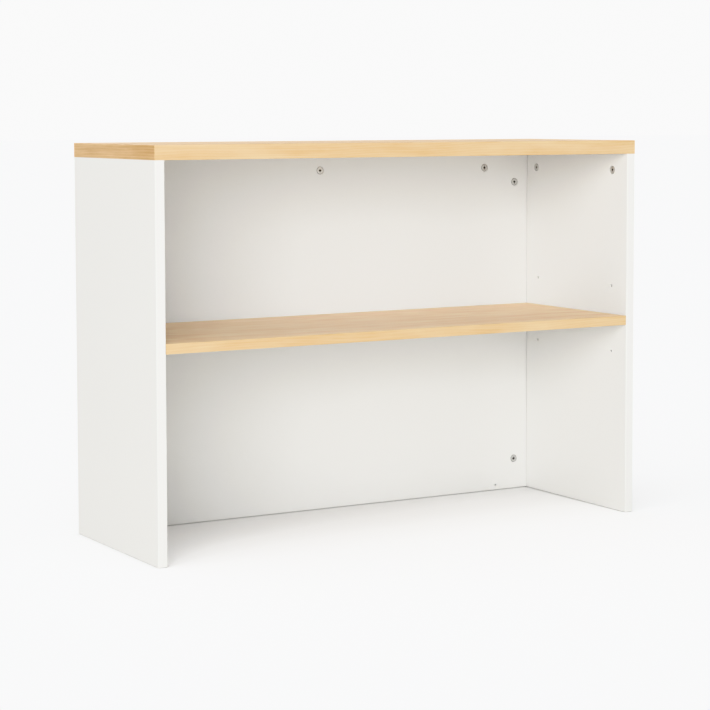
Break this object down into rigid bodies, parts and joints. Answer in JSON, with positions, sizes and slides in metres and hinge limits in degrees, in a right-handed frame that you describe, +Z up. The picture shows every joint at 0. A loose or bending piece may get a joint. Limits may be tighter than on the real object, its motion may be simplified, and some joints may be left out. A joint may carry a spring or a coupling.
{
  "type": "desk hutch",
  "caption": "Open desk hutch with white side boards and back, a thick wood top and an adjustable wood shelf, joined by cam locks.",
  "frame": {"origin": "on the desk surface, under the middle of the hutch", "axes": "+X along the width, towards the right end as seen from the front; +Y towards the back; +Z up"},
  "size_m": [1.016, 0.352, 0.724],
  "materials": {
    "wood_face": "satin, fine straight grain along the width",
    "wood_edge": "satin wood edge band",
    "white_board": "smooth satin white lacquer on board",
    "zinc": "die-cast zinc, dull",
    "bright_steel": "bright zinc-plated steel",
    "dowel_wood": "raw fluted beech"
  },
  "bodies": {
    "carcass": {"top_board": "wood_face", "top_front_edge_band": "wood_edge", "top_rear_edge_band": "wood_edge", "top_left_edge_band": "wood_edge", "top_right_edge_band": "wood_edge", "left_side_board": "white_board", "right_side_board": "white_board", "back_board": "white_board", "shelf_pin_front_left": "bright_steel", "shelf_pin_rear_left": "bright_steel", "shelf_pin_front_right": "bright_steel", "shelf_pin_rear_right": "bright_steel", "cam_bolt_front_of_left_side": "bright_steel", "cam_bolt_rear_of_left_side": "bright_steel", "cam_bolt_front_of_right_side": "bright_steel", "cam_bolt_rear_of_right_side": "bright_steel", "cam_bolt_top_left_of_back": "bright_steel", "cam_bolt_top_middle_of_back": "bright_steel", "cam_bolt_top_right_of_back": "bright_steel", "cam_bolt_lower_left_of_back": "bright_steel", "cam_bolt_upper_left_of_back": "bright_steel", "cam_bolt_lower_right_of_back": "bright_steel", "cam_bolt_upper_right_of_back": "bright_steel", "dowel_front_of_left_side": "dowel_wood", "dowel_rear_of_left_side": "dowel_wood", "dowel_front_of_right_side": "dowel_wood", "dowel_rear_of_right_side": "dowel_wood", "dowel_top_left_of_back": "dowel_wood", "dowel_top_right_of_back": "dowel_wood", "dowel_lower_left_of_back": "dowel_wood", "dowel_upper_left_of_back": "dowel_wood", "dowel_lower_right_of_back": "dowel_wood", "dowel_upper_right_of_back": "dowel_wood"},
    "shelf": {"shelf_board": "wood_face", "shelf_front_edge_band": "wood_edge"},
    "lock_front_of_left_side": {"cam_lock_front_of_left_side": "zinc"},
    "lock_rear_of_left_side": {"cam_lock_rear_of_left_side": "zinc"},
    "lock_front_of_right_side": {"cam_lock_front_of_right_side": "zinc"},
    "lock_rear_of_right_side": {"cam_lock_rear_of_right_side": "zinc"},
    "lock_top_left_of_back": {"cam_lock_top_left_of_back": "zinc"},
    "lock_top_middle_of_back": {"cam_lock_top_middle_of_back": "zinc"},
    "lock_top_right_of_back": {"cam_lock_top_right_of_back": "zinc"},
    "lock_lower_left_of_back": {"cam_lock_lower_left_of_back": "zinc"},
    "lock_upper_left_of_back": {"cam_lock_upper_left_of_back": "zinc"},
    "lock_lower_right_of_back": {"cam_lock_lower_right_of_back": "zinc"},
    "lock_upper_right_of_back": {"cam_lock_upper_right_of_back": "zinc"}
  },
  "joints": [
    {"name": "shelf_lift", "type": "slide", "parent": "carcass", "child": "shelf", "axis": [0, 0, 1], "range_m": [0, 0.064]},
    {"name": "turn_front_of_left_side", "type": "hinge", "parent": "carcass", "child": "lock_front_of_left_side", "pos_m": [-0.499, -0.128, 0.666], "axis": [1, 0, 0], "range_deg": [0, 180]},
    {"name": "turn_rear_of_left_side", "type": "hinge", "parent": "carcass", "child": "lock_rear_of_left_side", "pos_m": [-0.499, 0.128, 0.666], "axis": [1, 0, 0], "range_deg": [0, 180]},
    {"name": "turn_front_of_right_side", "type": "hinge", "parent": "carcass", "child": "lock_front_of_right_side", "pos_m": [0.499, -0.128, 0.666], "axis": [-1, 0, 0], "range_deg": [0, 180]},
    {"name": "turn_rear_of_right_side", "type": "hinge", "parent": "carcass", "child": "lock_rear_of_right_side", "pos_m": [0.499, 0.128, 0.666], "axis": [-1, 0, 0], "range_deg": [0, 180]},
    {"name": "turn_top_left_of_back", "type": "hinge", "parent": "carcass", "child": "lock_top_left_of_back", "pos_m": [-0.384, 0.168, 0.666], "axis": [0, -1, 0], "range_deg": [0, 180]},
    {"name": "turn_top_middle_of_back", "type": "hinge", "parent": "carcass", "child": "lock_top_middle_of_back", "pos_m": [0, 0.168, 0.666], "axis": [0, -1, 0], "range_deg": [0, 180]},
    {"name": "turn_top_right_of_back", "type": "hinge", "parent": "carcass", "child": "lock_top_right_of_back", "pos_m": [0.384, 0.168, 0.666], "axis": [0, -1, 0], "range_deg": [0, 180]},
    {"name": "turn_lower_left_of_back", "type": "hinge", "parent": "carcass", "child": "lock_lower_left_of_back", "pos_m": [-0.458, 0.168, 0.062], "axis": [0, -1, 0], "range_deg": [0, 180]},
    {"name": "turn_upper_left_of_back", "type": "hinge", "parent": "carcass", "child": "lock_upper_left_of_back", "pos_m": [-0.458, 0.168, 0.636], "axis": [0, -1, 0], "range_deg": [0, 180]},
    {"name": "turn_lower_right_of_back", "type": "hinge", "parent": "carcass", "child": "lock_lower_right_of_back", "pos_m": [0.458, 0.168, 0.062], "axis": [0, -1, 0], "range_deg": [0, 180]},
    {"name": "turn_upper_right_of_back", "type": "hinge", "parent": "carcass", "child": "lock_upper_right_of_back", "pos_m": [0.458, 0.168, 0.636], "axis": [0, -1, 0], "range_deg": [0, 180]}
  ]
}
